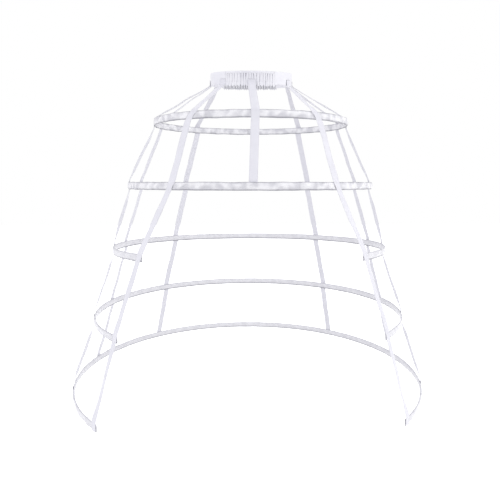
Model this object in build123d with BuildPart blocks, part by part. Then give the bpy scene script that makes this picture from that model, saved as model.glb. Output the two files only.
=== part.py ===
from build123d import *
import math
import os

# Crinoline cage: five sprung hoops in satin casings, hung on ribbon tapes from a gathered waistband.
# The origin is the centre of the waist opening, +Z is up and the front faces -Y.
# Azimuths are in degrees from the front, and grow towards +X. Lengths are in millimetres.

# Waistband: smooth panels at the two sides, gathered covers on elastic at the front and back.
waist_radius = 101.0
band_height = 30.0
band_tilt = 9.0  # degrees, front edge lower
front_cover_azimuths = (-37.8, 29.8)  # drawn up unevenly, further round on the left
back_cover_azimuths = (137.0, 223.0)
seam_gap = 0.2  # between the ends of neighbouring panels
elastic_thickness = 1.4
cover_clearance = 0.2
cover_thickness = 0.9  # at the bottom of a fold
side_panel_thickness = 3.0
heading_height = 5.0  # smooth edge above the folds
frill_height = 7.0  # flared lower end of the folds
frill_flare = 2.5  # how far the hem stands out
gather_pitch = 6.2
gather_depth = 2.2

# Hoops, from the top. The hem gives the size of the cage, and the shares give each hoop's
# radius and its drop below the waist.
hem_radius = 453.0
hem_drop = 772.0
hoop_radius_shares = (0.54, 0.684, 0.773, 0.879, 1.0)
hoop_drop_shares = (0.142, 0.3445, 0.552, 0.7715, 1.0)
hoop_tilts = (2.3, 0.8, -1.3, -0.6, -0.5)  # degrees, front edge lower
side_lean = 0.7  # degrees, the hoops hang a little to the left of the waist
closed_hoops = 2  # the others are open at the front

# Casing: a flattened satin tube, flat outside and bevelled towards its narrower inner side.
casing_height = 17.0
casing_inner_height = 9.0
casing_thickness = 4.5
casing_wall = 0.4
casing_end_seam = 6.0  # flat sewn end of an open hoop's casing
casing_end_overhang = 1.0  # past the edge of the front tape

# Boning strip, its joiner plate and its end tips. Out of sight, they are drawn as a ring of short flats.
bone_flats = 40  # in a full turn
bone_width = 6.0
bone_thickness = 1.0
bone_clearance = 0.2
bone_gap = 1.5  # between the two ends of a closed strip
joiner_thickness = 0.7
joiner_length = 45.0
tip_length = 12.0

# Tapes
tape_width = 18.0
tape_thickness = 0.7
tape_clearance = 0.25
tape_lap = 13.0  # sewn onto the waistband
centre_lap = 15.0
crease_rise = 3.0  # from a casing's edge to the fold where a tape turns away from it

# Azimuths of each pair of tapes: of the right and the left one at the waistband,
# and of both at each hoop from the top.
waist_azimuths = {
    "front": (59.0, 43.0),
    "side": (84.0, 87.0),
    "side_back": (99.5, 98.5),
    "back": (112.0, 122.0),
}
hoop_azimuths = {
    "front": (33.5, 34.4, 43.9, 47.7, 47.1),
    "side": (85.5, 86.3, 85.5, 77.5, 75.0),
    "side_back": (103.3, 105.6, 102.3, 102.9, 104.4),
    "back": (142.0, 142.0, 139.6, 138.7, 139.3),
}
front_slants = (20.0, 12.0, 12.0, 8.0, 0.0)  # how far round a front tape moves across each hoop

FULL_TURN = 360.0
HALF_TURN = 180.0
QUARTER_TURN = 90.0

hoop_radii = [hem_radius * share for share in hoop_radius_shares]
hoop_drops = [hem_drop * share for share in hoop_drop_shares]
channel_height = bone_width + 2 * bone_clearance
channel_depth = bone_thickness + joiner_thickness + 3 * bone_clearance


def ring_plane(drop, tilt):
    """Plane of a hoop or of the waistband: local +Y points to the back, local +Z along the ring's axis."""
    lean = math.radians(tilt)
    left = -drop * math.tan(math.radians(side_lean))
    return Plane(origin=(left, 0, -drop), x_dir=(1, 0, 0), z_dir=(0, -math.sin(lean), math.cos(lean)))


def outward(azimuth):
    """Unit vector away from the axis, in a ring's own plane."""
    turn = math.radians(azimuth)
    return Vector(math.sin(turn), -math.cos(turn), 0)


def on_ring(ring, azimuth, radius, height):
    """Point at a radius and a height above a ring's plane."""
    return ring.from_local_coords(outward(azimuth) * radius + Vector(0, 0, height))


def direction(ring, azimuth):
    """Unit vector away from a ring's axis, in the frame of the whole part."""
    return ring.from_local_coords(outward(azimuth)) - ring.origin


def across(ring, azimuth):
    """Plane that cuts a ring square: its X points outward and its Y along the ring's axis."""
    out = direction(ring, azimuth)
    return Plane(origin=ring.origin, x_dir=out, z_dir=out.cross(ring.z_dir))


def arc_of(length, radius):
    """Angle of an arc of that length, in degrees."""
    return math.degrees(length / radius)


def save(piece, name):
    piece.part.label = name
    export_step(piece.part, f"parts/{name}.step")


os.makedirs("parts", exist_ok=True)

band = ring_plane(0, band_tilt)
band_axis = Axis(band.origin, band.z_dir)
hoops = [ring_plane(drop, tilt) for drop, tilt in zip(hoop_drops, hoop_tilts)]


# Waistband

def band_strip(start, arc, inner, thickness):
    """Smooth strip of the waistband's height, from a start azimuth over an arc."""
    with BuildPart() as strip:
        with BuildSketch(across(band, start)):
            with Locations((inner + thickness / 2, 0)):
                Rectangle(thickness, band_height)
        revolve(axis=band_axis, revolution_arc=arc)
    return strip


def gathered_cover(start, arc, inner):
    """Cover with a smooth heading, upright folds below it and a frill that flares out at the hem."""
    gathers = round(math.radians(arc) * inner / gather_pitch)
    step = arc / (2 * gathers)
    valley = inner + cover_thickness
    top = band_height / 2
    hem = -band_height / 2
    levels = ((top - heading_height, 0), (hem + frill_height, 0), (hem, frill_flare))
    with BuildPart() as cover:
        with BuildSketch(across(band, start)):
            with Locations((inner, top)):
                Rectangle(cover_thickness + gather_depth, heading_height, align=(Align.MIN, Align.MAX))
        revolve(axis=band_axis, revolution_arc=arc)
        for height, flare in levels:
            grow = 1 + flare / valley
            folds = []
            for i in range(2 * gathers + 1):
                radius = valley + gather_depth * (i % 2)
                folds.append(outward(start + i * step) * radius * grow)
            ends = [outward(start + turn) * inner * grow for turn in (0, arc / 2, arc)]
            with BuildSketch(band.offset(height)):
                with BuildLine():
                    outer = Polyline(*folds)
                    back = ThreePointArc(*ends)
                    Line(back @ 0, outer @ 0)
                    Line(outer @ 1, back @ 1)
                make_face()
        loft(ruled=True)
    return cover


elastic_outer = waist_radius + elastic_thickness
cover_inner = elastic_outer + cover_clearance
fold_outer = cover_inner + cover_thickness + gather_depth + frill_flare
side_outer = waist_radius + side_panel_thickness
seam_angle = arc_of(seam_gap / 2, waist_radius)

cover_azimuths = {"front": front_cover_azimuths, "back": back_cover_azimuths}
panel_azimuths = {
    "right": (front_cover_azimuths[1], back_cover_azimuths[0]),
    "left": (back_cover_azimuths[1], front_cover_azimuths[0] + FULL_TURN),
}

for place, (first, last) in cover_azimuths.items():
    start = first + seam_angle
    arc = last - first - 2 * seam_angle
    save(band_strip(start, arc, waist_radius, elastic_thickness), f"waist_elastic_{place}")
    save(gathered_cover(start, arc, cover_inner), f"waistband_{place}")

for place, (first, last) in panel_azimuths.items():
    arc = last - first - 2 * seam_angle
    save(band_strip(first + seam_angle, arc, waist_radius, side_panel_thickness), f"waistband_side_{place}")


# Hoops

def flats_ring(hoop, outer, thickness, height):
    """Ring of short flats about a hoop's axis, in the plane of the hoop."""
    with BuildPart() as ring:
        with BuildSketch(hoop.offset(-height / 2)):
            RegularPolygon(outer, bone_flats)
            RegularPolygon(outer - thickness, bone_flats, mode=Mode.SUBTRACT)
        extrude(amount=height)
    return ring


def wedge(hoop, middle, half_arc, radius):
    """Sector of a hoop's disc, deep enough to cut a strip of the casing's height."""
    reach = 2 * radius / math.cos(math.radians(half_arc))
    with BuildPart() as sector:
        with BuildSketch(hoop.offset(-casing_height / 2)):
            Polygon((0, 0), outward(middle - half_arc) * reach, outward(middle + half_arc) * reach, align=None)
        extrude(amount=casing_height)
    return sector


def strip_without(hoop, outer, thickness, height, middle, half_arc):
    """Strip that runs all round but for a gap."""
    with BuildPart() as strip:
        add(flats_ring(hoop, outer, thickness, height).part)
        add(wedge(hoop, middle, half_arc, outer).part, mode=Mode.SUBTRACT)
    return strip


def strip_within(hoop, outer, thickness, height, middle, half_arc):
    """Short strip along a part of the round."""
    with BuildPart() as strip:
        add(flats_ring(hoop, outer, thickness, height).part)
        add(wedge(hoop, middle, half_arc, outer).part, mode=Mode.INTERSECT)
    return strip


def hoop_casing(hoop, radius, start, channel):
    """Casing with a channel for the boning. It starts and ends at the same angle either side of the front."""
    arc = FULL_TURN - 2 * start
    with BuildPart() as casing:
        with BuildSketch(across(hoop, start)):
            Polygon(
                (radius, -casing_height / 2),
                (radius, casing_height / 2),
                (radius - casing_thickness, casing_inner_height / 2),
                (radius - casing_thickness, -casing_inner_height / 2),
                align=None,
            )
        revolve(axis=Axis(hoop.origin, hoop.z_dir), revolution_arc=arc)
        add(channel.part, mode=Mode.SUBTRACT)
    return casing


tip_thickness = channel_depth - 2 * bone_clearance
for i, (hoop, radius) in enumerate(zip(hoops, hoop_radii)):
    name = f"hoop_{i + 1}"
    channel_outer = radius - casing_wall
    bone_outer = channel_outer - bone_clearance
    bone_size = (bone_outer, bone_thickness, bone_width)
    channel_size = (channel_outer, channel_depth, channel_height)
    if i < closed_hoops:
        joiner_outer = bone_outer - bone_thickness - bone_clearance
        joiner_size = (joiner_outer, joiner_thickness, bone_width)
        half_gap = arc_of(bone_gap / 2, radius)
        half_joiner = arc_of(joiner_length / 2, radius)
        save(hoop_casing(hoop, radius, 0, flats_ring(hoop, *channel_size)), f"{name}_casing")
        save(strip_without(hoop, *bone_size, HALF_TURN, half_gap), f"{name}_bone")
        save(strip_within(hoop, *joiner_size, HALF_TURN, half_joiner), f"{name}_joiner")
    else:
        casing_end = hoop_azimuths["front"][i] - arc_of(tape_width / 2 + casing_end_overhang, radius)
        channel_end = casing_end + arc_of(casing_end_seam, radius)
        tip_start = channel_end + arc_of(bone_clearance, radius)
        half_tip = arc_of(tip_length / 2, radius)
        bone_end = tip_start + 2 * half_tip + arc_of(bone_clearance, radius)
        tip_size = (bone_outer, tip_thickness, bone_width)
        channel = strip_without(hoop, *channel_size, 0, channel_end)
        save(hoop_casing(hoop, radius, casing_end, channel), f"{name}_casing")
        save(strip_without(hoop, *bone_size, 0, bone_end), f"{name}_bone")
        save(strip_within(hoop, *tip_size, tip_start + half_tip, half_tip), f"{name}_tip_right")
        save(strip_within(hoop, *tip_size, -tip_start - half_tip, half_tip), f"{name}_tip_left")


# Tapes

def lap(ring, azimuth, radius, top, bottom, slant=0):
    """Where a tape lies flat on a ring: its upper and lower point, the way along the ring and the way out."""
    along = direction(ring, azimuth + QUARTER_TURN)
    upper = on_ring(ring, azimuth, radius, top) - along * (slant / 2)
    lower = on_ring(ring, azimuth, radius, bottom) + along * (slant / 2)
    return upper, lower, along, direction(ring, azimuth)


def between(first, second):
    """Outward side of the flat run from one lap to the next."""
    along = first[2] + second[2]
    return along.cross(first[1] - second[0]).normalized()


def fold(point, above, below):
    """Plane across a fold, with how much longer than the tape's thickness it is there."""
    crease = above.cross(below).normalized()
    middle = (above + below).normalized()
    return Plane(origin=point, x_dir=crease, z_dir=crease.cross(middle)), 1 / middle.dot(above)


def ribbon(laps):
    """Ribbon of flat runs, folded along a straight crease wherever it meets or leaves a lap."""
    runs = [between(first, second) for first, second in zip(laps, laps[1:])]
    sections = []
    for place, above, below in zip(laps, [None] + runs, runs + [None]):
        upper, lower, along, out = place
        end = Plane(origin=upper, x_dir=along, z_dir=along.cross(out)), 1
        sections.append(fold(upper, above, out) if above else end)
        end = Plane(origin=lower, x_dir=along, z_dir=along.cross(out)), 1
        sections.append(fold(lower, out, below) if below else end)
    with BuildPart() as tape:
        for plane, stretch in sections:
            with BuildSketch(plane):
                Rectangle(tape_width, tape_thickness * stretch)
        loft(ruled=True)
    return tape


tape_stand_off = tape_clearance + tape_thickness / 2
hoop_edge = casing_height / 2
crease = hoop_edge + crease_rise
band_edge = -band_height / 2


def full_tape(place, side):
    """Tape from the side of the waistband to the hem, over the outside of every hoop."""
    sign = 1 if side == "right" else -1
    waist = waist_azimuths[place][0 if side == "right" else 1]
    slants = front_slants if place == "front" else [0] * len(hoops)
    laps = [lap(band, sign * waist, side_outer + tape_stand_off, band_edge + tape_lap, band_edge)]
    for hoop, radius, azimuth, slant in zip(hoops, hoop_radii, hoop_azimuths[place], slants):
        bottom = -hoop_edge if hoop is hoops[-1] else -crease
        laps.append(lap(hoop, sign * azimuth, radius + tape_stand_off, crease, bottom, sign * slant))
    return ribbon(laps)


def centre_tape():
    """Short tape at the front, from the gathers over the first hoop to the inside of the second."""
    tucked = hoop_radii[1] - casing_thickness - tape_stand_off
    laps = [
        lap(band, 0, fold_outer + tape_stand_off, band_edge + centre_lap, band_edge),
        lap(hoops[0], 0, hoop_radii[0] + tape_stand_off, crease, -crease),
        lap(hoops[1], 0, tucked, crease, -hoop_edge),
    ]
    return ribbon(laps)


save(centre_tape(), "tape_front_centre")
for place in hoop_azimuths:
    for side in ("right", "left"):
        save(full_tape(place, side), f"tape_{place}_{side}")
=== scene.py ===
import math

import bmesh
import bpy
import numpy as np
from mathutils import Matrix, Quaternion, Vector


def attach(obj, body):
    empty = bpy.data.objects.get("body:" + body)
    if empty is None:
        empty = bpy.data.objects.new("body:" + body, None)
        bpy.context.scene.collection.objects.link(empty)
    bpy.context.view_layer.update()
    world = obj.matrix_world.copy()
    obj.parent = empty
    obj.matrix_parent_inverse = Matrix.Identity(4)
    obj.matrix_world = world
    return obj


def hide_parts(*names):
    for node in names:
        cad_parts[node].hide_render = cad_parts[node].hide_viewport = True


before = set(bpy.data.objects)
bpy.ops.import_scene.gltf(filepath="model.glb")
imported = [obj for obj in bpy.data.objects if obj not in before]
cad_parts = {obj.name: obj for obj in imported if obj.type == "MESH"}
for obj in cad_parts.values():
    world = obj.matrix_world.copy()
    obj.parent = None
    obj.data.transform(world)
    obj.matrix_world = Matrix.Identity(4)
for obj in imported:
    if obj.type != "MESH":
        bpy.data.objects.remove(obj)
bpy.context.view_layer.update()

# Crinoline cage. Metres, origin at the centre of the waist opening, front towards -Y.
# Azimuths and tilts are in degrees, azimuths from the front towards the right.
MM = 0.001
QUARTER_TURN = 90.0
HALF_TURN = 180.0
FULL_TURN = 360.0

# Sizes that repeat those of the part's source
WAIST_RADIUS = 101 * MM
BAND_HEIGHT = 30 * MM
BAND_TILT = 9.0
COVERS = {"front": (-37.8, 29.8), "back": (137.0, 223.0)}
PANELS = {"right": (29.8, 137.0), "left": (223.0, 322.2)}
SEAM_GAP = 0.2 * MM
SEAM_ANGLE = math.degrees(SEAM_GAP / 2 / WAIST_RADIUS)
ELASTIC_THICKNESS = 1.4 * MM
SIDE_PANEL_THICKNESS = 3 * MM
COVER_CLEARANCE = 0.2 * MM
COVER_INNER = WAIST_RADIUS + ELASTIC_THICKNESS + COVER_CLEARANCE
COVER_THICKNESS = 0.9 * MM
HEADING_HEIGHT = 5 * MM
FRILL_HEIGHT = 7 * MM
FRILL_FLARE = 2.5 * MM
GATHER_PITCH = 6.2 * MM
GATHER_DEPTH = 2.2 * MM
FOLD_OUTER = COVER_INNER + COVER_THICKNESS + GATHER_DEPTH + FRILL_FLARE
HEM_RADIUS = 453 * MM
HEM_DROP = 772 * MM
HOOP_RADIUS_SHARES = (0.54, 0.684, 0.773, 0.879, 1.0)
HOOP_DROP_SHARES = (0.142, 0.3445, 0.552, 0.7715, 1.0)
HOOP_RADII = [HEM_RADIUS * share for share in HOOP_RADIUS_SHARES]
HOOP_DROPS = [HEM_DROP * share for share in HOOP_DROP_SHARES]
HOOP_TILTS = (2.3, 0.8, -1.3, -0.6, -0.5)
SIDE_LEAN = 0.7
CLOSED_HOOPS = 2
CASING_HEIGHT = 17 * MM
CASING_THICKNESS = 4.5 * MM
CASING_END_OVERHANG = 1 * MM
CASING_END_SEAM = 6 * MM
TAPE_WIDTH = 18 * MM
TAPE_THICKNESS = 0.7 * MM
TAPE_CLEARANCE = 0.25 * MM
TAPE_STAND_OFF = TAPE_CLEARANCE + TAPE_THICKNESS / 2
TAPE_LAP = 13 * MM
CREASE_RISE = 3 * MM
WAIST_AZIMUTHS = {
    "front": {"right": 59.0, "left": 43.0},
    "side": {"right": 84.0, "left": 87.0},
    "side_back": {"right": 99.5, "left": 98.5},
    "back": {"right": 112.0, "left": 122.0},
}
HOOP_AZIMUTHS = {
    "front": (33.5, 34.4, 43.9, 47.7, 47.1),
    "side": (85.5, 86.3, 85.5, 77.5, 75.0),
    "side_back": (103.3, 105.6, 102.3, 102.9, 104.4),
    "back": (142.0, 142.0, 139.6, 138.7, 139.3),
}
NO_SLANT = (0.0, 0.0, 0.0, 0.0, 0.0)
SLANTS = {"front": (20 * MM, 12 * MM, 12 * MM, 8 * MM, 0.0)}

# Cloth of the scene
CLOTH = 0.35 * MM
TAPE_CLOTH = 0.5 * MM
RIM_THICKNESS_SHARE = 0.5
CASING_SEAM_IN = 2.0 * MM  # sewn line, in from the edge of the cloth
TAPE_SEAM_IN = 0.8 * MM
CENTRE_LAP = 11 * MM  # of the centre tape on the waistband
CENTRE_HANG = (-1.5, 0.0, -0.9)  # azimuths of the centre tape on the waistband and the two hoops
NO_TURN = (0.0, 0.0, 0.0, 0.0, 0.0)
TURNS = {  # how far a tape's edges turn out of its face in each free run
    "side": (0.3 * MM, 1.4 * MM, 2.2 * MM, 2.2 * MM, 3.4 * MM),
    "front": (0.0, 0.0, 0.0, 0.0, 1.5 * MM),
}


# Frames and noise

LEAST_NOISE_VALUES = 4


class Ring:
    """A hoop's or the waistband's own frame: X to the right, Y to the back, Z along its axis."""

    def __init__(self, drop, tilt):
        lean = math.radians(tilt)
        self.origin = np.array((-drop * math.tan(math.radians(SIDE_LEAN)), 0.0, -drop))
        self.x = np.array((1.0, 0.0, 0.0))
        self.z = np.array((0.0, -math.sin(lean), math.cos(lean)))
        self.y = np.cross(self.z, self.x)

    def out(self, azimuth):
        """Unit vector away from the axis."""
        turn = np.radians(np.asarray(azimuth, float))[..., None]
        return np.sin(turn) * self.x - np.cos(turn) * self.y

    def point(self, azimuth, radius, height):
        """Point at a radius and a height above the ring's plane."""
        radius = np.asarray(radius, float)[..., None]
        height = np.asarray(height, float)[..., None]
        return self.origin + self.out(azimuth) * radius + self.z * height


BAND = Ring(0, BAND_TILT)
HOOPS = [Ring(drop, tilt) for drop, tilt in zip(HOOP_DROPS, HOOP_TILTS)]


def unit(v):
    """Vectors of length 1."""
    return v / np.linalg.norm(v, axis=-1, keepdims=True)


def ease(x, low, high):
    """Smooth step from 0 at low to 1 at high."""
    t = np.clip((x - low) / (high - low), 0, 1)
    return t * t * (3 - 2 * t)


def wander(x, length, pitch, seed, closed=False):
    """Smooth noise, mostly within -1..1, through one random value per pitch of a length."""
    rng = np.random.default_rng(seed)
    count = max(LEAST_NOISE_VALUES, int(round(length / pitch)))
    values = rng.uniform(-1, 1, count)
    place = np.asarray(x, float) / length * count
    low = np.floor(place).astype(int)
    t = place - low
    if closed:
        a, b, c, d = (values[(low + k) % count] for k in (-1, 0, 1, 2))
    else:
        a, b, c, d = (values[np.clip(low + k, 0, count - 1)] for k in (-1, 0, 1, 2))
    return b + 0.5 * t * (c - a + t * (2 * a - 5 * b + 4 * c - d + t * (3 * (b - c) + d - a)))


# Meshes

def grid_faces(rows, columns, wrap_rows, wrap_columns, start=0):
    """Quads of a grid of points, which may close on itself either way."""
    r = np.arange(rows if wrap_rows else rows - 1)
    c = np.arange(columns if wrap_columns else columns - 1)
    r, c = (a.ravel() for a in np.meshgrid(r, c, indexing="ij"))
    r1, c1 = (r + 1) % rows, (c + 1) % columns
    corners = (r * columns + c, r1 * columns + c, r1 * columns + c1, r * columns + c1)
    return start + np.stack(corners, 1)


def new_piece(name, points, quads, uvs, material, extra_faces=()):
    """Mesh piece from points, quads and a flat place in metres for each point."""
    mesh = bpy.data.meshes.new(name)
    faces = [tuple(int(i) for i in q) for q in quads] + [tuple(f) for f in extra_faces]
    mesh.from_pydata([tuple(p) for p in points], [], faces)
    layer = mesh.uv_layers.new(name="flat")
    loops = np.empty(len(mesh.loops), np.int32)
    mesh.loops.foreach_get("vertex_index", loops)
    layer.data.foreach_set("uv", np.asarray(uvs, np.float32)[loops].ravel())
    mesh.shade_smooth()
    mesh.materials.append(material)
    mesh.update()
    piece = bpy.data.objects.new(name, mesh)
    bpy.context.scene.collection.objects.link(piece)
    return piece


def face_outward(piece):
    """Turns every face of a closed piece outward."""
    bm = bmesh.new()
    bm.from_mesh(piece.data)
    bmesh.ops.recalc_face_normals(bm, faces=bm.faces)
    bm.to_mesh(piece.data)
    bm.free()


def grid_normals(sheet):
    """Normals of a grid of points."""
    return unit(np.cross(np.gradient(sheet, axis=0), np.gradient(sheet, axis=1)))


def closed_cloth(name, front, back, flat, material):
    """Closed piece between two grids of points."""
    rows, columns = front.shape[:2]
    count = rows * columns
    rim = np.concatenate([
        np.arange(columns),
        np.arange(1, rows) * columns + columns - 1,
        (rows - 1) * columns + np.arange(columns - 2, -1, -1),
        np.arange(rows - 2, 0, -1) * columns,
    ])
    following = np.roll(rim, -1)
    quads = np.concatenate([
        grid_faces(rows, columns, False, False),
        grid_faces(rows, columns, False, False, count)[:, ::-1],
        np.stack([rim, following, following + count, rim + count], 1),
    ])
    points = np.concatenate([front.reshape(-1, 3), back.reshape(-1, 3)])
    piece = new_piece(name, points, quads, np.concatenate([flat.reshape(-1, 2)] * 2), material)
    face_outward(piece)
    return piece


def thick_sheet(name, sheet, flat, thickness, material):
    """Closed cloth of a thickness about a grid of points, thinner at its rim."""
    half = np.full(sheet.shape[:2], thickness / 2)
    for rim in (half[0], half[-1], half[:, 0], half[:, -1]):
        rim *= RIM_THICKNESS_SHARE
    offset = grid_normals(sheet) * half[..., None]
    return closed_cloth(name, sheet + offset, sheet - offset, flat, material)


# Materials

WAVE_RADIANS = 20  # how far Blender's wave texture turns in one unit


def new_material(name):
    """Material with only a shader and an output."""
    material = bpy.data.materials.new(name)
    material.use_nodes = True
    nodes = material.node_tree.nodes
    nodes.clear()
    output = nodes.new("ShaderNodeOutputMaterial")
    shader = nodes.new("ShaderNodeBsdfPrincipled")
    material.node_tree.links.new(shader.outputs["BSDF"], output.inputs["Surface"])
    return material, shader


class Nodes:
    """Short ways to add nodes to a material or a world."""

    def __init__(self, owner):
        self.tree = owner.node_tree

    def add(self, kind, **values):
        node = self.tree.nodes.new(kind)
        for key, value in values.items():
            setattr(node, key, value)
        return node

    def link(self, output, socket):
        self.tree.links.new(output, socket)

    def math(self, operation, a, b=None, c=None):
        node = self.add("ShaderNodeMath", operation=operation)
        for socket, value in zip(node.inputs, (a, b, c)):
            if value is None:
                continue
            if isinstance(value, (int, float)):
                socket.default_value = value
            else:
                self.link(value, socket)
        return node.outputs[0]

    def split(self, vector):
        node = self.add("ShaderNodeSeparateXYZ")
        self.link(vector, node.inputs["Vector"])
        return node.outputs["X"], node.outputs["Y"]

    def noise(self, vector, scale, detail, roughness=0.5):
        node = self.add("ShaderNodeTexNoise")
        node.inputs["Scale"].default_value = scale
        node.inputs["Detail"].default_value = detail
        node.inputs["Roughness"].default_value = roughness
        self.link(vector, node.inputs["Vector"])
        return node.outputs["Fac"]

    def ramp(self, factor, span, first, second):
        node = self.add("ShaderNodeValToRGB")
        for element, position, colour in zip(node.color_ramp.elements, span, (first, second)):
            element.position = position
            element.color = (*colour, 1)
        self.link(factor, node.inputs["Fac"])
        return node.outputs["Color"]

    def spread(self, factor, low, high):
        node = self.add("ShaderNodeMapRange")
        node.inputs["To Min"].default_value = low
        node.inputs["To Max"].default_value = high
        self.link(factor, node.inputs["Value"])
        return node.outputs["Result"]

    def stretch(self, vector, scale):
        node = self.add("ShaderNodeMapping")
        node.inputs["Scale"].default_value = scale
        self.link(vector, node.inputs["Vector"])
        return node.outputs["Vector"]

    def waves(self, vector, pitch, direction, bend=0.0, bend_scale=1.0):
        node = self.add("ShaderNodeTexWave", wave_type="BANDS", wave_profile="SIN")
        node.bands_direction = direction
        node.inputs["Scale"].default_value = 2 * math.pi / (WAVE_RADIANS * pitch)
        node.inputs["Distortion"].default_value = bend
        node.inputs["Detail Scale"].default_value = bend_scale
        self.link(vector, node.inputs["Vector"])
        return node.outputs["Fac"]

    def multiply(self, colour, tone):
        node = self.add("ShaderNodeMix", data_type="RGBA", blend_type="MULTIPLY")
        node.inputs["Factor"].default_value = 1.0
        self.link(colour, node.inputs["A"])
        self.link(tone, node.inputs["B"])
        return node.outputs["Result"]

    def bump(self, height, distance, strength, before=None):
        node = self.add("ShaderNodeBump")
        node.inputs["Distance"].default_value = distance
        node.inputs["Strength"].default_value = strength
        self.link(height, node.inputs["Height"])
        if before is not None:
            self.link(before, node.inputs["Normal"])
        return node.outputs["Normal"]


BLACK = (0, 0, 0)
FULL = (1, 1, 1)
TONE_SCALE = 23.0
TONE_SPAN = (0.3, 0.7)
PATCH_SCALE = (44.0, 50.0, 1.0)  # patches of a casing, per metre along and across it
SHEEN_PATCH_SPAN = (0.4, 0.58)
PATCH_STRENGTH = 0.7
# Painted shade towards a casing's edges: where it is darkest, and its blue tint.
EDGE_SHADE_END_SHARE = 0.94  # share of a casing's half height where its edge is darkest
EDGE_SHADE_BLUE = 0.03
GLOSS_SCALE = (60.0, 220.0, 1.0)
SHEEN_ROUGHNESS = 0.35
SPECULAR = 0.2
WEAVE_DEPTH = 0.05 * MM
WEAVE_STRENGTH = 0.5
CRINKLE_SCALE = (90.0, 40.0, 1.0)
CRINKLE_STRENGTH = 0.6
GROOVE_PITCH = 4.6 * MM
GROOVE_SPAN = (0.15, 0.5)
GROOVE_BEND = 2.5
GROOVE_BEND_SCALE = 0.6
FOLD_SPAN = (0.36, 0.92)
FOLD_SHADE = (0.24, 0.24, 0.28)
FOLD_SAMPLES = 6
SEAM_HALF_WIDTH = 0.9 * MM
SEAM_DEPTH = 0.35 * MM
SEAM_STRENGTH = 0.8
SEAM_SOFTNESS = 0.2
SEAM_THREAD_RADIUS = 0.22 * MM
SEAM_STITCH_PITCH = 2.6 * MM
SEAM_STITCH_SHARE = 0.72
SEAM_THREAD_RISE = 0.5


def painted_edge_shade(n, colour, uv, upper, lower):
    """Painted shade: darkens a casing towards its edges. Each edge has the share where that starts, and a
    tone.
    """
    _, across = n.split(uv)
    for way, (start, tone) in ((1, upper), (-1, lower)):
        out = n.math("MULTIPLY", across, way / (CASING_HEIGHT / 2))
        shade = (tone, tone, tone + EDGE_SHADE_BLUE)
        colour = n.multiply(colour, n.ramp(out, (start, EDGE_SHADE_END_SHARE), FULL, shade))
    return colour


def painted_groove_shade(n, colour, uv, groove_shade):
    """Painted shade: uneven dark lines between the ribs of an elastic."""
    bent = n.waves(uv, GROOVE_PITCH, "X", GROOVE_BEND, GROOVE_BEND_SCALE)
    mix = n.add("ShaderNodeMix", data_type="RGBA")
    mix.inputs["A"].default_value = (*groove_shade, 1)
    n.link(n.ramp(bent, GROOVE_SPAN, BLACK, FULL), mix.inputs["Factor"])
    n.link(colour, mix.inputs["B"])
    return mix.outputs["Result"]


def painted_fold_shade(n, colour, reach):
    """Painted shade: darkens the bottoms of folds, as far as they are occluded."""
    inner = n.add("ShaderNodeAmbientOcclusion", samples=FOLD_SAMPLES)
    inner.inputs["Distance"].default_value = reach
    return n.multiply(colour, n.ramp(inner.outputs["AO"], FOLD_SPAN, FOLD_SHADE, FULL))


def sewn_line(n, normal, uv, seam):
    """Line of stitches in a shallow furrow, at a distance from the middle of the cloth on both sides."""
    run, across = n.split(uv)
    off = n.math("ABSOLUTE", n.math("SUBTRACT", n.math("ABSOLUTE", across), seam))
    hollow = n.math("SMOOTH_MIN", n.math("DIVIDE", off, SEAM_HALF_WIDTH), 1.0, SEAM_SOFTNESS)
    stitch = n.math("FRACT", n.math("DIVIDE", run, SEAM_STITCH_PITCH))
    dash = n.math("LESS_THAN", stitch, SEAM_STITCH_SHARE)
    raised = n.math("MULTIPLY", n.math("LESS_THAN", off, SEAM_THREAD_RADIUS), dash)
    sewn = n.math("ADD", hollow, n.math("MULTIPLY", raised, SEAM_THREAD_RISE))
    return n.bump(sewn, SEAM_DEPTH, SEAM_STRENGTH, normal)


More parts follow.
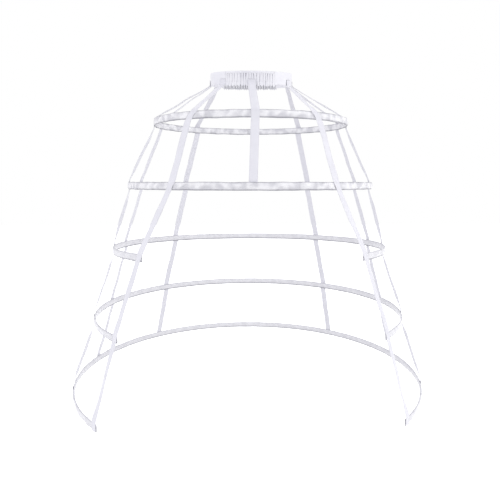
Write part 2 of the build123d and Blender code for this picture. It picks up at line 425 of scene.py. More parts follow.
def cloth_material(name, tones, roughness, weave, sheen, crinkle,
                   seam=None, groove_shade=None, fold_shade_reach=None, casing=None):
    """Cloth with threads both ways, changes of tone and gloss, fine crinkles, and what the last four ask.
    The flat place runs along the cloth in X and across it in Y. Tones and roughness are the ends of a range.
    Weave has the pitch of the threads and of the ribs across them. Groove shade is the tone of painted shade
    between ribs, and fold shade reach how far painted shade in folds looks. Casing has the relief of the
    patches, whose light and dark tones are painted sheen and painted shade, and the upper and the lower
    painted edge shade."""
    material, shader = new_material(name)
    n = Nodes(material)
    places = n.add("ShaderNodeTexCoord").outputs
    uv = places["UV"]
    light, dark = tones
    if casing is None:
        slow = n.noise(places["Object"], TONE_SCALE, detail=4.0, roughness=0.6)
        colour = n.ramp(slow, TONE_SPAN, dark, light)
    else:
        # Casing tone: patches of painted sheen and painted shade, then painted shade towards the edges.
        relief, upper, lower = casing
        patches = n.noise(n.stretch(uv, PATCH_SCALE), 1.0, detail=1.0, roughness=0.45)
        colour = painted_edge_shade(n, n.ramp(patches, SHEEN_PATCH_SPAN, dark, light), uv, upper, lower)
    if groove_shade is not None:
        colour = painted_groove_shade(n, colour, uv, groove_shade)
    if fold_shade_reach is not None:
        colour = painted_fold_shade(n, colour, fold_shade_reach)
    n.link(colour, shader.inputs["Base Color"])
    gloss = n.noise(n.stretch(uv, GLOSS_SCALE), 1.0, detail=2.0)
    n.link(n.spread(gloss, *roughness), shader.inputs["Roughness"])
    shader.inputs["Sheen Weight"].default_value = sheen
    shader.inputs["Sheen Roughness"].default_value = SHEEN_ROUGHNESS
    shader.inputs["Specular IOR Level"].default_value = SPECULAR
    threads, ribs = n.waves(uv, weave[0], "Y"), n.waves(uv, weave[1], "X")
    woven = n.math("ADD", n.math("MULTIPLY", threads, 0.5), n.math("MULTIPLY", ribs, 0.5))
    normal = n.bump(woven, WEAVE_DEPTH, WEAVE_STRENGTH)
    fine = n.noise(n.stretch(uv, CRINKLE_SCALE), 1.0, detail=3.0, roughness=0.55)
    normal = n.bump(fine, crinkle, CRINKLE_STRENGTH, normal)
    if casing is not None:
        normal = n.bump(patches, relief, PATCH_STRENGTH, normal)
    if seam is not None:
        normal = sewn_line(n, normal, uv, seam)
    n.link(normal, shader.inputs["Normal"])
    return material


SATIN_WEAVE = (0.35 * MM, 0.6 * MM)
RIBBON_WEAVE = (0.5 * MM, 0.7 * MM)
ELASTIC_WEAVE = (2.0 * MM, 0.9 * MM)
THREAD_WEAVE = (0.2 * MM, 0.3 * MM)
THREAD_CRINKLE = 0.05 * MM
CASING_SEAM = CASING_HEIGHT / 2 - CASING_SEAM_IN

# Casing satins: their patch tones are painted sheen and painted shade, and their edges carry painted shade.
satin = cloth_material(
    "satin", ((0.98, 0.975, 0.99), (0.75, 0.745, 0.78)), (0.26, 0.42), SATIN_WEAVE,
    sheen=0.03, crinkle=0.5 * MM, seam=CASING_SEAM, casing=(9 * MM, (0.72, 0.58), (0.6, 0.44)))
# Shaded copy of the satin for the open hoops: its darker tones and darker lower edge are painted shade.
taut_satin_painted_shade = cloth_material(
    "taut_satin_painted_shade", ((0.865, 0.86, 0.885), (0.8, 0.795, 0.825)), (0.26, 0.42), SATIN_WEAVE,
    sheen=0.02, crinkle=0.3 * MM, seam=CASING_SEAM, casing=(2 * MM, (0.72, 0.72), (0.5, 0.36)))
# Band satin: the bottoms of its folds get painted shade.
band_satin = cloth_material(
    "band_satin", ((0.96, 0.955, 0.985), (0.88, 0.875, 0.925)), (0.3, 0.45), SATIN_WEAVE,
    sheen=0.15, crinkle=0.25 * MM, fold_shade_reach=4 * MM)
ribbon = cloth_material(
    "ribbon", ((0.88, 0.875, 0.92), (0.83, 0.825, 0.875)), (0.34, 0.5), RIBBON_WEAVE,
    sheen=0.2, crinkle=0.15 * MM, seam=TAPE_WIDTH / 2 - TAPE_SEAM_IN)
# Elastic: the dark lines between its ribs are painted shade.
elastic_cloth = cloth_material(
    "elastic_cloth", ((0.95, 0.95, 0.97), (0.88, 0.88, 0.91)), (0.6, 0.75), ELASTIC_WEAVE,
    sheen=0.1, crinkle=0.15 * MM, groove_shade=(0.2, 0.2, 0.23))
# Bar-tack thread: the stitches are real, and their dark grey is painted shade for the gap at a tape's edge.
tack_thread_painted_shade = cloth_material(
    "tack_thread_painted_shade", ((0.42, 0.42, 0.45), (0.32, 0.32, 0.35)), (0.5, 0.65), THREAD_WEAVE,
    sheen=0.2, crinkle=THREAD_CRINKLE)
thread = cloth_material(
    "thread", ((0.9, 0.9, 0.93), (0.82, 0.82, 0.86)), (0.45, 0.6), THREAD_WEAVE,
    sheen=0.2, crinkle=THREAD_CRINKLE)

GRAIN_STRETCH = 12
GRAIN_DEPTH = 0.05 * MM
GRAIN_STRENGTH = 0.3


def strip_material(name, light, dark, roughness, metallic, grain):
    """Rolled steel or moulded plastic: fine grain in tone, gloss and height."""
    material, shader = new_material(name)
    n = Nodes(material)
    place = n.add("ShaderNodeTexCoord").outputs["Object"]
    grained = n.stretch(place, (grain, grain, GRAIN_STRETCH * grain))
    fine = n.noise(grained, 1.0, detail=4.0, roughness=0.6)
    n.link(n.ramp(fine, TONE_SPAN, dark, light), shader.inputs["Base Color"])
    n.link(n.spread(fine, *roughness), shader.inputs["Roughness"])
    n.link(n.bump(fine, GRAIN_DEPTH, GRAIN_STRENGTH), shader.inputs["Normal"])
    shader.inputs["Metallic"].default_value = metallic
    return material


def dress_hidden_pieces():
    """Materials of the boning, its joiners and its tips, which keep the shapes of their solids."""
    steel = strip_material("spring_steel", (0.62, 0.63, 0.66), (0.5, 0.51, 0.54), (0.28, 0.42),
                           metallic=1.0, grain=60.0)
    plastic = strip_material("tip_plastic", (0.87, 0.87, 0.88), (0.8, 0.8, 0.82), (0.4, 0.55),
                             metallic=0.0, grain=90.0)
    for node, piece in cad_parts.items():
        if node.endswith(("_bone", "_joiner")):
            piece.data.materials.clear()
            piece.data.materials.append(steel)
        elif "_tip_" in node:
            piece.data.materials.clear()
            piece.data.materials.append(plastic)


def finish_sheet(piece, node):
    """Hangs a cloth piece on the root body and hides the part's solid that it takes the place of."""
    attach(piece, "root")
    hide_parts(node)


# Hoop casings

CASING_STEP = 2.6 * MM
CASING_SEEDS = (40, 50, 60, 70, 80)
CASING_HALF_SHARES = (0.1, 0.28, 0.44, 0.58, 0.69, 0.77, 0.86, 0.94, 1.0)
CASING_SKIN_GAP = 0.1 * MM
CASING_CORE_DEPTH = 2.2 * MM  # of the line about which the lining shrinks
CASING_CORE_RADIUS = 1.2 * MM
OUTER_TUCK = 1.5 * MM  # how far the faces draw in towards the edges
INNER_TUCK = 2.4 * MM
TAPE_HOLD = (11 * MM, 26 * MM)  # from a tape: where the cloth starts to be free, and where it is
END_HOLD = (4 * MM, 20 * MM)
END_FLAT_START = 1 * MM
END_DEPTH_SHARE = 0.25
END_SEAT = -0.6 * MM  # depth to which the ends are pressed
CLOSED_FULLNESS = 1.7
OPEN_FULLNESS = 0.9
SWELL = 1.1 * MM
PUCKER = 0.75 * MM
PUCKER_PITCH = 7 * MM
PUCKER_SLANT = 0.5
PUCKER_BAND_SHARES = (0.1, 0.75)
SLOW_PUCKER_SHARE = 0.8
SLOW_PUCKER_PITCHES = (15 * MM, 16 * MM)
SLACK = 1.0 * MM
SLACK_PITCH = 18 * MM
SLACK_SLANT = -1.2
INNER_SLACK = 0.5 * MM
INNER_SLACK_LIMIT = 0.4 * MM
BONE_REACH = 4 * MM  # up and down from the middle, where the boning keeps the cloth from sinking
BONE_PRESS = 0.05 * MM  # how far it may sink there
EDGE_SWAY = 0.35 * MM
EDGE_SWAY_PITCH = 19 * MM


def tape_azimuths_on(hoop):
    """Azimuth of every tape that holds the puckers of a hoop's casing, with half its slant there."""
    found = [(0.0, 0.0)] if hoop == 0 else []
    for place, azimuths in HOOP_AZIMUTHS.items():
        for side in (-1, 1):
            found.append((side * azimuths[hoop], SLANTS.get(place, NO_SLANT)[hoop] / 2))
    return found


def tuck(height_share, depth, start_share, power):
    """How far a face of a casing draws in at a share of its half height."""
    return depth * np.clip((height_share - start_share) / (1 - start_share), 0, 1) ** power


def casing_section():
    """Depth, height and side of a casing's points: up the outside from the lower edge, then down inside."""
    half = np.array(CASING_HALF_SHARES)
    share = np.concatenate([-half[::-1], half])
    outer = -tuck(np.abs(share), OUTER_TUCK, start_share=0.62, power=1.6)
    inner = tuck(np.abs(share), INNER_TUCK, start_share=0.4, power=0.8)
    inner = inner - (CASING_THICKNESS - CASING_SKIN_GAP)
    depth = np.concatenate([outer, inner[::-1]])
    height = np.concatenate([share, share[::-1]]) * CASING_HEIGHT / 2
    outside = np.repeat([True, False], len(share))
    return depth, height, outside


class CasingRun:
    """Rows of points round a hoop, from the back of a closed one or from the right end of an open one."""

    def __init__(self, index):
        self.index = index
        self.radius = HOOP_RADII[index]
        self.closed = index < CLOSED_HOOPS
        start, arc = HALF_TURN, FULL_TURN
        if not self.closed:
            overhang = math.degrees((TAPE_WIDTH / 2 + CASING_END_OVERHANG) / self.radius)
            start = HOOP_AZIMUTHS["front"][index] - overhang
            arc = FULL_TURN - 2 * start
        self.length = math.radians(arc) * self.radius
        self.rows = int(round(self.length / CASING_STEP))
        steps = self.rows if self.closed else self.rows - 1
        self.azimuth = start + arc * (np.arange(self.rows) / steps)
        self.run = np.radians(self.azimuth - start) * self.radius

    def noise(self, x, pitch, draw):
        return wander(x, self.length, pitch, CASING_SEEDS[self.index] + draw, self.closed)

    def freedom(self):
        """0 where a tape or an end holds the cloth, 1 where it is free to pucker."""
        free = np.ones(self.rows)
        for crossing, reach in tape_azimuths_on(self.index):
            away = np.abs((self.azimuth - crossing + HALF_TURN) % FULL_TURN - HALF_TURN)
            free *= ease(np.radians(away) * self.radius - reach, *TAPE_HOLD)
        if not self.closed:
            free *= ease(self.run, *END_HOLD) * ease(self.length - self.run, *END_HOLD)
        return free

    def end_depth(self):
        """0 where an end is pressed flat, 1 away from the ends."""
        if self.closed:
            return np.ones(self.rows)
        return ease(np.minimum(self.run, self.length - self.run), END_FLAT_START, CASING_END_SEAM)

    def puckers(self, height, outside):
        """How far the cloth stands out of its section, and how far its edges sway up and down."""
        fullness = CLOSED_FULLNESS if self.closed else OPEN_FULLNESS
        free, run, h = self.freedom()[:, None], self.run[:, None], height[None, :]
        top = CASING_HEIGHT / 2
        start, end = (share * top for share in PUCKER_BAND_SHARES)
        middle = 1 - (h / top) ** 2
        slanted = run + PUCKER_SLANT * h
        rise = 0
        for k, band in enumerate((ease(h, start, end), ease(-h, start, end))):
            quick = self.noise(slanted, PUCKER_PITCH, 2 * k)
            slow = self.noise(slanted, SLOW_PUCKER_PITCHES[k], 2 * k + 1)
            rise = rise + PUCKER * (quick + SLOW_PUCKER_SHARE * slow) * band
        slack = self.noise(run + SLACK_SLANT * h, SLACK_PITCH, 4)
        stand = fullness * free * (SWELL * middle + rise + SLACK * slack * middle)
        over_bone = np.abs(h) < BONE_REACH
        stand = np.where(over_bone, np.maximum(stand, -BONE_PRESS), stand)
        sag = np.clip(INNER_SLACK * slack * middle * fullness, -INNER_SLACK_LIMIT, 0) * free
        upper, lower = (EDGE_SWAY * fullness * self.noise(run, EDGE_SWAY_PITCH, draw) for draw in (5, 6))
        sway = np.where(h > 0, upper, lower) * np.abs(h) / top * free
        return np.where(outside[None, :], stand, sag), sway


def casing(index):
    """Flattened satin tube round a hoop's boning, with its lining. The ends of an open one are sewn shut."""
    course, ring = CasingRun(index), HOOPS[index]
    depth, height, outside = casing_section()
    push, sway = course.puckers(height, outside)
    kept = course.end_depth()[:, None]
    r = END_SEAT + (depth - END_SEAT) * (END_DEPTH_SHARE + (1 - END_DEPTH_SHARE) * kept) + push * kept
    h = height + sway
    hollow = 1 - CLOTH / np.hypot(height, depth + CASING_CORE_DEPTH).clip(CASING_CORE_RADIUS)
    lining_r = -CASING_CORE_DEPTH + (r + CASING_CORE_DEPTH) * hollow
    azimuth = course.azimuth[:, None]
    skin = ring.point(azimuth, course.radius + r, h)
    lining = ring.point(azimuth, course.radius + lining_r, h * hollow)
    flat = np.stack(np.broadcast_arrays(course.run[:, None], height), -1)
    lining_flat, caps = flat, []
    rows, columns = flat.shape[:2]
    first = rows * columns
    if not course.closed:
        skip = int(round(CASING_END_SEAM / CASING_STEP)) + 1
        lining, lining_flat = lining[skip:-skip], flat[skip:-skip]
        ends = (0, first - columns, first, first + (len(lining) - 1) * columns)
        loops = [list(range(start, start + columns)) for start in ends]
        caps = [loops[0][::-1], loops[1], loops[2], loops[3][::-1]]
    quads = np.concatenate([
        grid_faces(rows, columns, course.closed, True),
        grid_faces(len(lining), columns, course.closed, True, first)[:, ::-1],
    ])
    points = np.concatenate([skin.reshape(-1, 3), lining.reshape(-1, 3)])
    uvs = np.concatenate([flat.reshape(-1, 2), lining_flat.reshape(-1, 2)])
    hoop = f"hoop_{index + 1}"
    # Open hoops take the shaded copy of the satin: painted shade.
    piece = new_piece(f"{hoop}_satin", points, quads, uvs, satin if course.closed else taut_satin_painted_shade, caps)
    finish_sheet(piece, f"{hoop}_casing")


# Tapes

TAPE_STEP = 2.6 * MM
LEAST_TAPE_ROWS = 3
TAPE_ACROSS_SHARES = np.array([-1, -0.93, -0.7, -0.35, 0, 0.35, 0.7, 0.93, 1.0])
FOLD_PASSES = 3
SLACK_REACH = (6 * MM, 40 * MM)  # from a fold: where a run starts to be slack, and where it is
TAPE_WAVE = 1.1 * MM
TAPE_WAVE_PITCH = 38 * MM
TAPE_TWIST = 0.7 * MM
TAPE_TWIST_PITCH = 55 * MM
TAPE_RIPPLE = 0.18 * MM
TAPE_RIPPLE_PITCH = 12 * MM
TAPE_RIPPLE_SLANT = 4 * MM
TAPE_CUP = 0.25 * MM
CENTRE_SEED = 77
STITCH_LENGTH = 1.5 * MM
STITCH_RADIUS = 0.22 * MM
STITCH_SIDES = 6
STITCH_SHARES = ((-0.5, 0.25), (-0.36, 0.95), (0.36, 0.95), (0.5, 0.25))  # of the length and the radius
STITCH_LIFT_SHARE = 0.2
TACK_INSET = 2.2 * MM
TACK_ROW_SHARES = np.linspace(-0.8, 0.8, 8)
BAR_TACK_SHARES = np.linspace(0.4, 0.75, 9)
BAR_TACK_INSET = 1.2 * MM
BAR_TACK_RADIUS = 1.8 * STITCH_RADIUS


def lap(ring, azimuth, radius, top, bottom, slant=0.0):
    """Where a tape lies on a ring: upper and lower point, the way along the ring and the way out."""
    along = ring.out(azimuth + QUARTER_TURN)
    upper = ring.point(azimuth, radius, top) - along * slant / 2
    lower = ring.point(azimuth, radius, bottom) + along * slant / 2
    return upper, lower, along, ring.out(azimuth)


def creases(laps):
    """Point and crease direction of every fold along a tape, from its top to its end."""
    runs = [unit(np.cross(a[2] + b[2], a[1] - b[0])) for a, b in zip(laps, laps[1:])]
    folds = []
    for (upper, lower, along, out), above, below in zip(laps, [None] + runs, runs + [None]):
        first = along if above is None else unit(np.cross(above, out))
        second = along if below is None else unit(np.cross(out, below))
        for point, crease in ((upper, first), (lower, second)):
            folds.append((point, crease if crease @ along > 0 else -crease))
    return folds


def soften(sheet, passes):
    """Rounds the folds of a strip, keeping its two ends."""
    for _ in range(passes):
        inner = (sheet[:-2] + 2 * sheet[1:-1] + sheet[2:]) / 4
        sheet = np.concatenate([sheet[:1], inner, sheet[-1:]])
    return sheet


def tape(name, laps, seed, turns=NO_TURN):
    """Ribbon along the folds: a little cupped, slightly slack between the hoops, its edges turned there."""
    folds = creases(laps)
    across = TAPE_ACROSS_SHARES
    lines, slack, turned = [], [], []
    for i, ((p0, c0), (p1, c1)) in enumerate(zip(folds, folds[1:])):
        span = np.linalg.norm(p1 - p0)
        count = max(LEAST_TAPE_ROWS, int(round(span / TAPE_STEP)))
        t = np.arange(count + (i == len(folds) - 2)) / count
        e0 = p0 + across[:, None] * c0 * TAPE_WIDTH / 2
        e1 = p1 + across[:, None] * c1 * TAPE_WIDTH / 2
        lines.append(e0 + t[:, None, None] * (e1 - e0))
        free, turn = 0 * t, 0
        if i % 2 == 1:
            free = ease(t * span, *SLACK_REACH) * ease((1 - t) * span, *SLACK_REACH)
            turn = turns[i // 2]
        slack.append(free)
        turned.append(free * turn)
    sheet = soften(np.concatenate(lines), FOLD_PASSES)
    slack, turned = np.concatenate(slack)[:, None], np.concatenate(turned)[:, None]
    middle = sheet[:, len(across) // 2]
    along = np.concatenate([[0], np.cumsum(np.linalg.norm(np.diff(middle, axis=0), axis=1))])[:, None]
    length = along[-1, 0]
    wave = TAPE_WAVE * wander(along, length, TAPE_WAVE_PITCH, seed)
    twist = TAPE_TWIST * wander(along, length, TAPE_TWIST_PITCH, seed + 1) * across
    slanted = along + TAPE_RIPPLE_SLANT * across
    fine = TAPE_RIPPLE * wander(slanted, length, TAPE_RIPPLE_PITCH, seed + 2)
    push = (wave + twist + fine - TAPE_CUP * across ** 2) * slack + across * turned
    sheet = sheet + grid_normals(sheet) * push[..., None]
    flat = np.stack(np.broadcast_arrays(along, across * TAPE_WIDTH / 2), -1)
    return thick_sheet(name + "_ribbon", sheet, flat, TAPE_CLOTH, ribbon), length


def stitches(name, places, material=thread, radius=STITCH_RADIUS):
    """Threads at the places given, each with its middle, its way along and the way out of the cloth."""
    ring = np.radians(np.arange(STITCH_SIDES) * FULL_TURN / STITCH_SIDES)
    stages = [(a * STITCH_LENGTH, b * radius) for a, b in STITCH_SHARES]
    size = len(stages) * STITCH_SIDES
    points, quads, caps, uvs = [], [], [], []
    for k, (middle, way, out) in enumerate(places):
        side = unit(np.cross(way, out))
        base = middle + out * (STITCH_LIFT_SHARE * radius)
        start, end = k * size, (k + 1) * size
        for a, b in stages:
            points += [base + way * a + (np.cos(t) * side + np.sin(t) * out) * b for t in ring]
            uvs += [(a, t * radius) for t in ring]
        quads.append(grid_faces(len(stages), STITCH_SIDES, False, True, start))
        caps += [range(start + STITCH_SIDES - 1, start - 1, -1), range(end - STITCH_SIDES, end)]
    piece = new_piece(name, points, np.concatenate(quads), uvs, material, caps)
    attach(piece, "root")


def tacks(laps, inside_last=False):
    """Two rows of stitches where a tape is sewn to a ring."""
    found = []
    last = len(laps) - 1
    for k, (upper, lower, along, out) in enumerate(laps):
        way = unit(upper - lower)
        face = -out if inside_last and k == last else out
        above = TACK_INSET if k == 0 else CREASE_RISE + TACK_INSET
        below = TACK_INSET if k in (0, last) else CREASE_RISE + TACK_INSET
        for row in (upper - way * above, lower + way * below):
            for share in TACK_ROW_SHARES:
                place = row + along * (share * TAPE_WIDTH / 2) + face * TAPE_CLOTH / 2
                found.append((place, along, face))
    return found


def bar_tacks(laps, sign):
    """Close stitches at the inner edge of a front tape, where it crosses the two closed hoops. Their dark
    grey thread is painted shade for the gap at that edge.
    """
    found = []
    for upper, lower, along, out in laps[1:1 + CLOSED_HOOPS]:
        edge = out * TAPE_CLOTH / 2 - along * (sign * (TAPE_WIDTH / 2 - BAR_TACK_INSET))
        for share in BAR_TACK_SHARES:
            found.append((upper + (lower - upper) * share + edge, along, out))
    return found


def full_tape(place, side):
    """Tape from the waistband over all five hoops."""
    sign = -1 if side == "left" else 1
    edge, half = -BAND_HEIGHT / 2, CASING_HEIGHT / 2
    outer = WAIST_RADIUS + SIDE_PANEL_THICKNESS + TAPE_STAND_OFF
    laps = [lap(BAND, sign * WAIST_AZIMUTHS[place][side], outer, edge + TAPE_LAP, edge)]
    slants = SLANTS.get(place, NO_SLANT)
    for ring, radius, azimuth, slant in zip(HOOPS, HOOP_RADII, HOOP_AZIMUTHS[place], slants):
        bottom = -half if ring is HOOPS[-1] else -half - CREASE_RISE
        top = half + CREASE_RISE
        laps.append(lap(ring, sign * azimuth, radius + TAPE_STAND_OFF, top, bottom, sign * slant))
    node = f"tape_{place}_{side}"
    turns = [-sign * turn for turn in TURNS.get(place, NO_TURN)]
    piece, length = tape(node, laps, sum(map(ord, node)), turns)
    finish_sheet(piece, node)
    stitches(node + "_stitches", tacks(laps))
    if place == "front":
        stitches(node + "_bar_tacks", bar_tacks(laps, sign), tack_thread_painted_shade, BAR_TACK_RADIUS)


def centre_tape():
    """Short tape from the gathers over the first hoop to the inside of the second."""
    edge, half = -BAND_HEIGHT / 2, CASING_HEIGHT / 2
    crease = half + CREASE_RISE
    tucked = HOOP_RADII[1] - CASING_THICKNESS - TAPE_STAND_OFF
    laps = [
        lap(BAND, CENTRE_HANG[0], FOLD_OUTER + TAPE_STAND_OFF, edge + CENTRE_LAP, edge),
        lap(HOOPS[0], CENTRE_HANG[1], HOOP_RADII[0] + TAPE_STAND_OFF, crease, -crease),
        lap(HOOPS[1], CENTRE_HANG[2], tucked, crease, -half),
    ]
    node = "tape_front_centre"
    piece, length = tape(node, laps, CENTRE_SEED)
    finish_sheet(piece, node)
    stitches(node + "_stitches", tacks(laps, True))


# Waistband

# Pitches and reaches along the gathered covers are in degrees.
COVER_SEEDS = {"front": 310, "back": 330}
WEB_SEED_STEP = 9
PANEL_SEEDS = {"right": 440, "left": 620}
FOLD_COLUMNS = 18
HEADING_ROWS = 7
BODY_ROWS = 18
FRILL_ROWS = 9
BAND_TOP = BAND_HEIGHT / 2
BAND_HEM = -BAND_HEIGHT / 2
UPPER_LINE = BAND_TOP - HEADING_HEIGHT  # the folds are drawn up between these two
LOWER_LINE = BAND_HEM + FRILL_HEIGHT
COVER_HEIGHTS = np.concatenate([
    np.linspace(BAND_TOP, UPPER_LINE, HEADING_ROWS),
    np.linspace(UPPER_LINE, LOWER_LINE, BODY_ROWS)[1:],
    np.linspace(LOWER_LINE, BAND_HEM, FRILL_ROWS)[1:],
])
BODY_START = 1.2 * MM
DRIFTS = ((0.35, 5.5), (0.12, 2.6))  # how far the folds stray, in folds, and the pitch
DRIFT_SLANT = 0.12 / MM  # degrees for a metre of height
FOLD_SIZES = (0.85, 0.3, 3.0)  # mean, change and pitch
FOLD_POWERS = (1.1, 0.5)  # narrow crests at the top, broad ones below
FADE_SHARES = (0.75, 0.6)
FADE_PITCH = 3.3
COVER_END_REACH = (0.3, 2.5)
COVER_END_SHARE = 0.3
BODY_NOTCH = 2.7 * MM
FRILL_NOTCH = 3.6 * MM
BASE_PUFF = 2.0 * MM
BODY_PUFF = 1.1 * MM
FRILL_PUFF = 1.9 * MM
HEADING_WOBBLE = 0.15 * MM
HEADING_WOBBLE_PITCH = 1.6
FOLD_LEAN_SHARE = 0.13
TOOTH_DEPTH = 6.5 * MM
TOOTH_RISE = 4.0 * MM
TOOTH_WANDER = 1.0 * MM
TOOTH_PITCH = 1.7
COVER_STITCH_HEIGHTS = (UPPER_LINE + 1.2 * MM, UPPER_LINE - 0.6 * MM, LOWER_LINE + 0.4 * MM)
COVER_STITCH_MARGIN = 8  # in columns, as the step
COVER_STITCH_STEP = 12
STRIP_STEP = 1.6 * MM
STRIP_EDGE_SHARES = (0.9, 0.97, 1)
STRIP_MIDDLE_SHARES = np.linspace(-0.8, 0.8, 9)
STRIP_INSET = 0.05 * MM
STRIP_DENT = 0.6 * MM
STRIP_ROUNDING = 12
STRIP_LEAST_SHARE = 0.12
PANEL_RIPPLE = 0.35 * MM
WEB_RIPPLE = 0.0
RIPPLE_PITCH = 9 * MM
RIPPLE_SLANT = 0.3
RIPPLE_EDGE_SHARE = 0.5
RIPPLE_END_REACH = 16 * MM
RIPPLE_END_SHARES = (1.3, 0.9)


def cover_points(start, turn, gathers, seed):
    """Points of a cover's uneven folds, at turns from its start."""
    h, t, span = COVER_HEIGHTS[:, None], turn[None, :], turn[-1]

    def stray(x, pitch, draw):
        return wander(x, span, pitch, seed + draw)

    down = ease(-h, -UPPER_LINE, -LOWER_LINE)
    body = ease(-h, -UPPER_LINE, -UPPER_LINE + BODY_START)
    frill = ease(-h, -LOWER_LINE, -BAND_HEM)
    ends = ease(np.minimum(t, span - t), *COVER_END_REACH)
    (broad, broad_pitch), (close, close_pitch) = DRIFTS
    drift = broad * stray(t, broad_pitch, 0) + close * stray(t + DRIFT_SLANT * h, close_pitch, 1)
    phase = t / span * gathers + drift
    crest = np.abs(np.sin(math.pi * phase))
    fold = crest ** (FOLD_POWERS[0] + (FOLD_POWERS[1] - FOLD_POWERS[0]) * down)
    size = FOLD_SIZES[0] + FOLD_SIZES[1] * stray(t, FOLD_SIZES[2], 2)
    reach = 0.5 + 0.5 * stray(t, FADE_PITCH, 5)
    fade = 1 - (FADE_SHARES[0] - FADE_SHARES[1] * reach) * down
    notch = (BODY_NOTCH * body * fade * (1 - frill) + FRILL_NOTCH * frill) * size
    notch = notch * (COVER_END_SHARE + (1 - COVER_END_SHARE) * ends)
    puff = BASE_PUFF + BODY_PUFF * body + FRILL_PUFF * frill
    wobble = HEADING_WOBBLE * stray(t, HEADING_WOBBLE_PITCH, 3) * (1 - body)
    radius = COVER_INNER + np.maximum(puff + wobble - notch * (1 - fold), CLOTH)
    lean = -FOLD_LEAN_SHARE * np.sin(2 * math.pi * phase) * body * (span / gathers) * ends
    drop = frill * (TOOTH_DEPTH * (1 - crest) - TOOTH_RISE + TOOTH_WANDER * stray(t, TOOTH_PITCH, 4))
    return BAND.point(start + t + lean, radius, h + drop)


def cover_tacks(sheet, azimuths):
    """Stitches along the sewn lines of a cover."""
    found = []
    for height in COVER_STITCH_HEIGHTS:
        row = int(np.argmin(np.abs(COVER_HEIGHTS - height)))
        for k in range(COVER_STITCH_MARGIN, len(azimuths) - COVER_STITCH_MARGIN, COVER_STITCH_STEP):
            out = BAND.out(azimuths[k])
            way = BAND.out(azimuths[k] + QUARTER_TURN)
            found.append((sheet[row, k] + out * CLOTH / 2, way, out))
    return found


def gathered_cover(place, first, last, seed):
    """Satin drawn up into uneven folds between sewn lines, with a smooth heading above and a frill below."""
    start, span = first + 2 * SEAM_ANGLE, last - first - 4 * SEAM_ANGLE
    gathers = round(math.radians(span) * COVER_INNER / GATHER_PITCH)
    turn = np.linspace(0, span, gathers * FOLD_COLUMNS + 1)
    sheet = cover_points(start, turn, gathers, seed)
    step = np.linalg.norm(np.diff(sheet, axis=1), axis=2)
    along = np.concatenate([np.zeros((len(sheet), 1)), np.cumsum(step, 1)], 1)
    flat = np.stack(np.broadcast_arrays(along, COVER_HEIGHTS[:, None]), -1)
    node = f"waistband_{place}"
    piece = thick_sheet(f"{node}_satin", sheet, flat, CLOTH, band_satin)
    finish_sheet(piece, node)
    stitches(f"{node}_stitches", cover_tacks(sheet, start + turn))


def smooth_strip(name, first, last, thickness, material, ripple, seed):
    """Closed strip of the band's height between two azimuths, with rounded edges and slight ripples."""
    start, end = first + SEAM_ANGLE, last - SEAM_ANGLE
    columns = int(round(math.radians(end - start) * WAIST_RADIUS / STRIP_STEP))
    turn = np.linspace(start, end, columns)
    run = np.radians(turn - start) * WAIST_RADIUS
    length = run[-1]
    edge = np.array(STRIP_EDGE_SHARES)
    share = np.concatenate([-edge[::-1], STRIP_MIDDLE_SHARES, edge])[:, None]
    h = share * BAND_HEIGHT / 2
    bump = ripple * wander(run + RIPPLE_SLANT * h, length, RIPPLE_PITCH, seed)
    near_end, change = RIPPLE_END_SHARES
    bump = bump * (1 - share ** 2 * RIPPLE_EDGE_SHARE)
    bump = bump * (near_end - change * ease(np.minimum(run, length - run), 0, RIPPLE_END_REACH))
    middle = BAND.point(turn[None, :], WAIST_RADIUS + thickness / 2, h)
    out = BAND.out(turn)[None, :, :]
    half = thickness / 2 * np.sqrt(np.clip(1 - np.abs(share) ** STRIP_ROUNDING, STRIP_LEAST_SHARE, 1))
    front = middle + out * (half - STRIP_INSET + np.clip(bump, -STRIP_DENT, 0))[..., None]
    back = middle - out * half[..., None]
    flat = np.stack(np.broadcast_arrays(run, h), -1)
    return closed_cloth(name, front, back, flat, material), length


def waistband():
    """Elastic and gathered cover at the front and the back, and a smooth panel at each side."""
    for place, (first, last) in COVERS.items():
        node = f"waist_elastic_{place}"
        seed = COVER_SEEDS[place]
        web, length = smooth_strip(f"{node}_web", first, last, ELASTIC_THICKNESS, elastic_cloth,
                                   WEB_RIPPLE, seed + WEB_SEED_STEP)
        finish_sheet(web, node)
        gathered_cover(place, first, last, seed)
    for side, (first, last) in PANELS.items():
        node = f"waistband_side_{side}"
        panel, length = smooth_strip(f"{node}_satin", first, last, SIDE_PANEL_THICKNESS, band_satin,
                                     PANEL_RIPPLE, PANEL_SEEDS[side])
        finish_sheet(panel, node)


# Floor, light and camera

FLOOR_DROP = 1.06
FLOOR_REACH = 9.0
FLOOR_TONE = (0.8, 0.8, 0.8, 1)
FLOOR_GLOW = 0.9
WHITE_LIGHT = (1, 1, 1, 1)
SOFT_LIGHT = (0.96, 0.96, 1.0, 1)
SOFT_STRENGTH = 0.81
SIDE_LAMP_SIZE = (1.3, 1.6)
SIDE_LAMP_TARGET = (0, 0, -0.25)
LAMPS = (  # name, place, target, size, watts and colour
    ("right", (2.12, -0.57, 0.3), SIDE_LAMP_TARGET, SIDE_LAMP_SIZE, 11, (1, 1, 0.98)),
    ("left", (-2.12, -0.57, 0.3), SIDE_LAMP_TARGET, SIDE_LAMP_SIZE, 8.5, (0.97, 0.97, 1)),
    ("top", (0.3, 0.4, 1.9), (0, 0, -0.3), (1.6, 1.6), 2, (1, 1, 1)),
    ("front", (0.7, -2.5, 0.35), (0, 0, -0.2), (1.0, 1.0), 6.5, (1, 1, 1)),
)
CAMERA_FOCAL_SHARE = 466.66 / 500  # of the width of the picture
CAMERA_DISTANCE = 1.240
CAMERA_HEIGHT = -0.2756
CAMERA_TURN = math.radians(2.346)
CAMERA_YAW = math.radians(-0.130)
CAMERA_PITCH = math.radians(7.439)
CAMERA_ROLL = math.radians(-0.007)
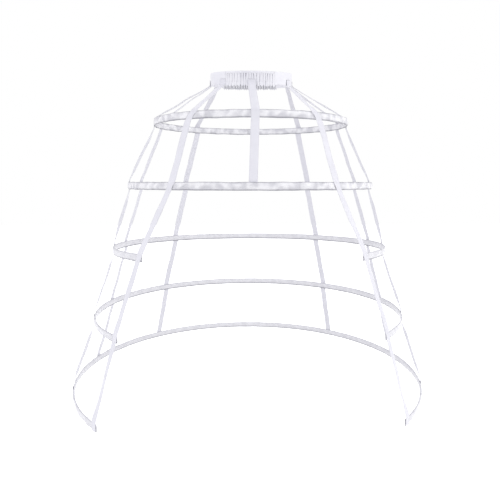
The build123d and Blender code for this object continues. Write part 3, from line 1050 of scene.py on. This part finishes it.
SENSOR_WIDTH = 36  # millimetres, as Blender has it


def pick_by_view(n, falling, seen):
    """One shader for light that falls on the object, and one for what the camera, a mirror or glass sees."""
    path = n.add("ShaderNodeLightPath").outputs
    direct = n.math("MAXIMUM", path["Is Camera Ray"], path["Is Transmission Ray"])
    direct = n.math("MAXIMUM", direct, path["Is Glossy Ray"])
    pick = n.add("ShaderNodeMixShader")
    for socket, output in zip(pick.inputs, (direct, falling.outputs[0], seen.outputs[0])):
        n.link(output, socket)
    return pick.outputs[0]


def white_floor():
    """Floor that the camera sees as white, apart from the object's shadow."""
    mesh = bpy.data.meshes.new("floor")
    ways = [(-1, -1), (1, -1), (1, 1), (-1, 1)]
    corners = [(x * FLOOR_REACH, y * FLOOR_REACH, -FLOOR_DROP) for x, y in ways]
    mesh.from_pydata(corners, [], [(0, 1, 2, 3)])
    floor = bpy.data.objects.new("floor", mesh)
    bpy.context.scene.collection.objects.link(floor)
    material = bpy.data.materials.new("floor")
    material.use_nodes = True
    n = Nodes(material)
    n.tree.nodes.clear()
    output = n.add("ShaderNodeOutputMaterial")
    diffuse = n.add("ShaderNodeBsdfDiffuse")
    diffuse.inputs["Color"].default_value = FLOOR_TONE
    glow = n.add("ShaderNodeEmission")
    glow.inputs["Color"].default_value = WHITE_LIGHT
    glow.inputs["Strength"].default_value = FLOOR_GLOW
    both = n.add("ShaderNodeAddShader")
    n.link(diffuse.outputs[0], both.inputs[0])
    n.link(glow.outputs[0], both.inputs[1])
    n.link(pick_by_view(n, diffuse, both), output.inputs["Surface"])
    mesh.materials.append(material)


def studio_world():
    """Even white studio: soft light on the object, pure white behind it."""
    world = bpy.data.worlds.new("studio")
    bpy.context.scene.world = world
    world.use_nodes = True
    n = Nodes(world)
    n.tree.nodes.clear()
    output = n.add("ShaderNodeOutputWorld")
    white, soft = n.add("ShaderNodeBackground"), n.add("ShaderNodeBackground")
    white.inputs["Color"].default_value = WHITE_LIGHT
    white.inputs["Strength"].default_value = 1.0
    soft.inputs["Color"].default_value = SOFT_LIGHT
    soft.inputs["Strength"].default_value = SOFT_STRENGTH
    n.link(pick_by_view(n, soft, white), output.inputs["Surface"])


def area_light(name, place, target, size, watts, colour):
    """Rectangular lamp that faces a target."""
    data = bpy.data.lights.new(name, "AREA")
    data.shape = "RECTANGLE"
    data.size, data.size_y = size
    data.energy = watts
    data.color = colour
    lamp = bpy.data.objects.new(name, data)
    lamp.location = place
    lamp.rotation_mode = "QUATERNION"
    lamp.rotation_quaternion = (Vector(target) - Vector(place)).to_track_quat("-Z", "Y")
    bpy.context.scene.collection.objects.link(lamp)


def studio_camera():
    """Camera of the photograph, as fitted to the hoops' ends and crossings."""
    data = bpy.data.cameras.new("camera")
    data.sensor_width = SENSOR_WIDTH
    data.lens = CAMERA_FOCAL_SHARE * SENSOR_WIDTH
    camera = bpy.data.objects.new("camera", data)
    bpy.context.scene.collection.objects.link(camera)
    side, back = -math.sin(CAMERA_TURN), -math.cos(CAMERA_TURN)
    camera.location = (CAMERA_DISTANCE * side, CAMERA_DISTANCE * back, CAMERA_HEIGHT)
    heading, level = CAMERA_TURN + CAMERA_YAW, math.cos(CAMERA_PITCH)
    look = Vector((math.sin(heading) * level, math.cos(heading) * level, -math.sin(CAMERA_PITCH)))
    camera.rotation_mode = "QUATERNION"
    camera.rotation_quaternion = look.to_track_quat("-Z", "Y") @ Quaternion((0, 0, 1), CAMERA_ROLL)
    bpy.context.scene.camera = camera


# The whole scene

dress_hidden_pieces()
for hoop_index in range(len(HOOPS)):
    casing(hoop_index)
waistband()
for tape_place in HOOP_AZIMUTHS:
    for tape_side in ("left", "right"):
        full_tape(tape_place, tape_side)
centre_tape()

white_floor()
studio_world()
for lamp_values in LAMPS:
    area_light(*lamp_values)
studio_camera()
bpy.context.scene.view_settings.view_transform = "Standard"
